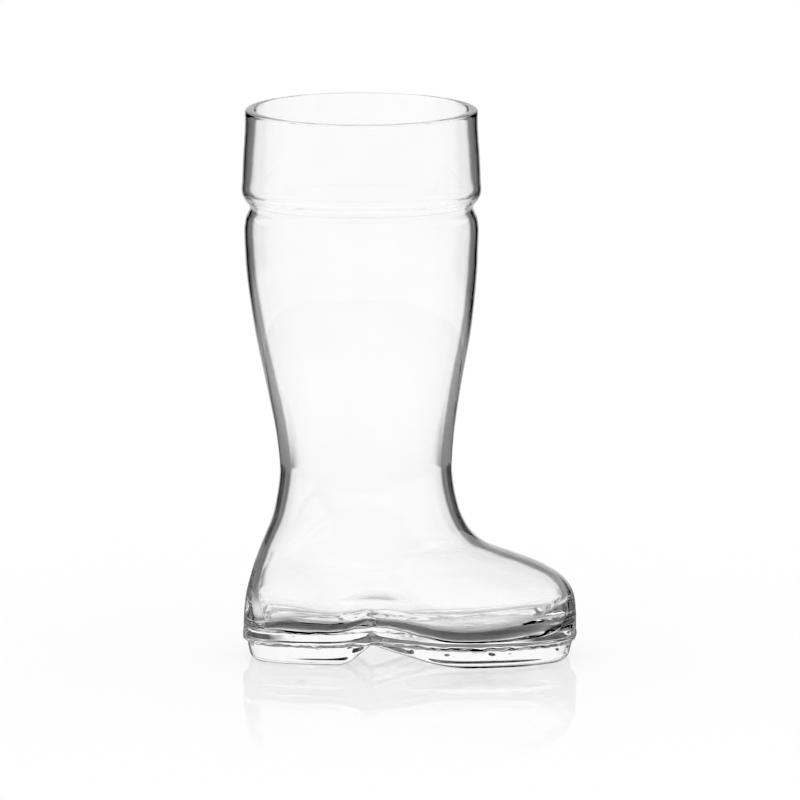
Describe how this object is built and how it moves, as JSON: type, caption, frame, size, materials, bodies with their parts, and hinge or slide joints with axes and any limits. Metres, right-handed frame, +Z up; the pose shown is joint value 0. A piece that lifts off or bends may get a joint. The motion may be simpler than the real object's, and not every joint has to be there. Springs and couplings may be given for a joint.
{
  "type": "beer boot glass",
  "caption": "Clear drinking glass in the shape of a boot: a blown upper with a cuff and groove on a solid heel and sole, for serving and drinking beer.",
  "frame": {"origin": "on the table, under the middle of the glass's length and width", "axes": "+Z up to the mouth, +X toward the toe, +Y to the glass's left side"},
  "size_m": [0.1183, 0.0846, 0.195],
  "materials": {
    "blown_glass": "clear soda-lime glass, fire-polished, slightly wavy, with a ground lip",
    "pressed_glass": "clear soda-lime glass, solid and thick, with small seed bubbles"
  },
  "bodies": {
    "root": {"boot_upper": "blown_glass", "heel": "pressed_glass", "sole": "pressed_glass"}
  },
  "joints": []
}
